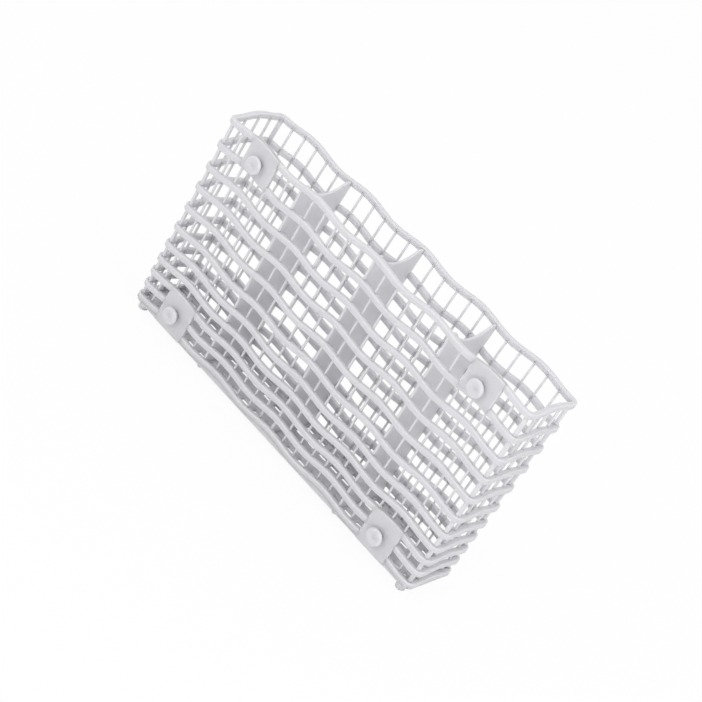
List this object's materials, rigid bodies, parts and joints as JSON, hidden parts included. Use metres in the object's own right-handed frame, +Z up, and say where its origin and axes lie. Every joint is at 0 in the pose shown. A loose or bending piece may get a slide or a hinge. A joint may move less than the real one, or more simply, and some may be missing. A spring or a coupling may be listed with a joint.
{
  "type": "dishwasher cutlery basket",
  "caption": "Slim one-piece moulded cutlery basket: rib rings that wave up and down on thin bars, flat dividers, slotted floor, and round hanging studs on plates in the front wall",
  "frame": {"origin": "middle of the length and of the whole depth, studs included, on the surface that the four feet stand on", "axes": "+X along the basket's length, -Y the side with the hanging studs, +Z up, out of the open top"},
  "size_m": [0.2424, 0.0521, 0.1361],
  "materials": {
    "basket": "satin moulded polypropylene"
  },
  "bodies": {
    "root": {"basket": "basket"}
  },
  "joints": []
}
